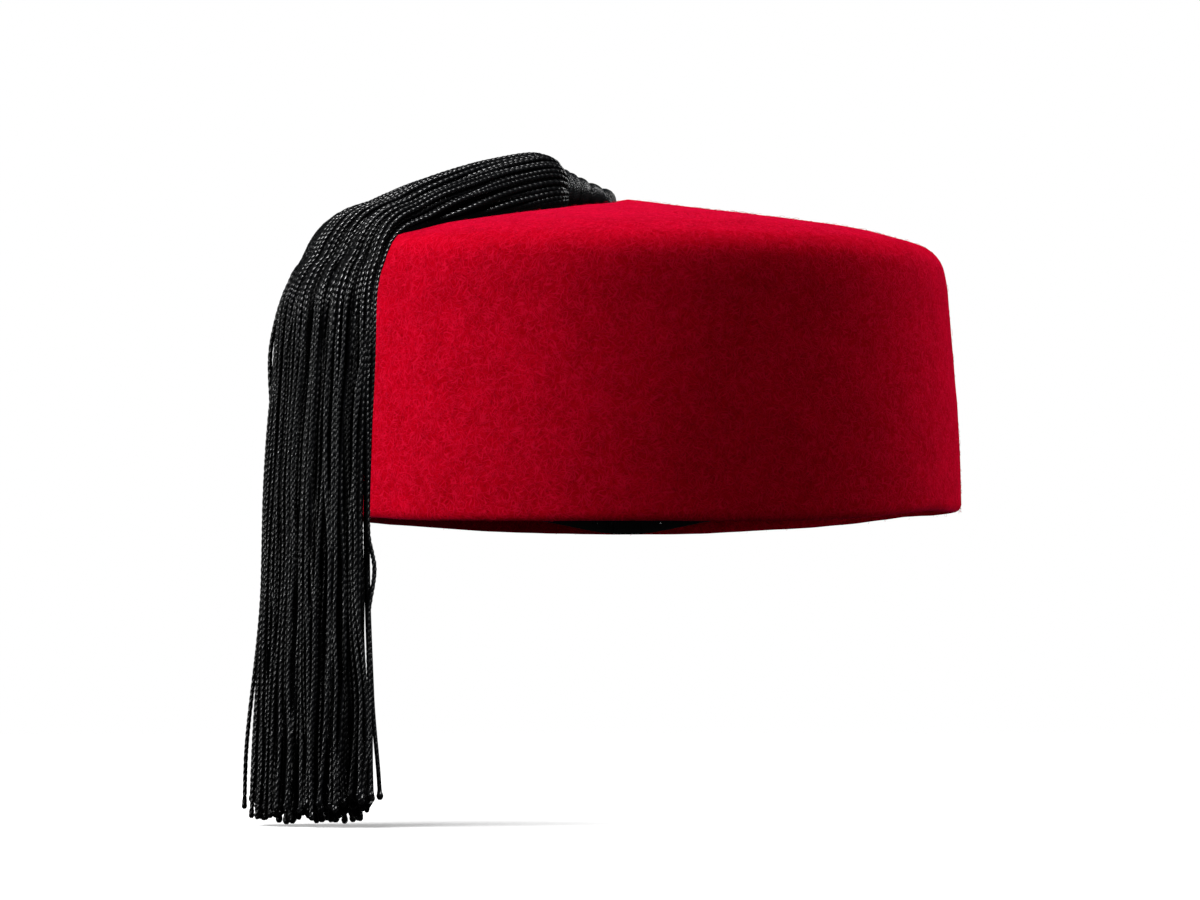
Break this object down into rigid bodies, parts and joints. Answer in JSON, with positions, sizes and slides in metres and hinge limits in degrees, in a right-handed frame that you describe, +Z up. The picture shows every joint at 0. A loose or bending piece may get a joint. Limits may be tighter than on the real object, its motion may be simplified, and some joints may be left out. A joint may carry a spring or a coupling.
{
  "type": "fez hat",
  "caption": "Low crimson felt fez with a domed top, an inner ribbon sweatband and a long black cord tassel that falls over one side.",
  "frame": {"origin": "middle of the rim opening, in the mean plane of the rim", "axes": "+Z up through the crown's middle, -Y to the wearer's front as the picture shows it, -X to the side where the tassel falls"},
  "size_m": [0.2002, 0.1892, 0.1881],
  "materials": {
    "crimson_felt": "milled wool felt, crimson, with a short nap of loose fibres",
    "black_ribbon": "black grosgrain ribbon, low satin sheen",
    "black_cord": "black two-ply twisted rayon cord, satin sheen"
  },
  "bodies": {
    "root": {"felt_crown": "crimson_felt", "sweatband": "black_ribbon", "tassel_cord": "black_cord", "tassel_binding": "black_cord", "tassel_skirt": "black_cord"}
  },
  "joints": []
}
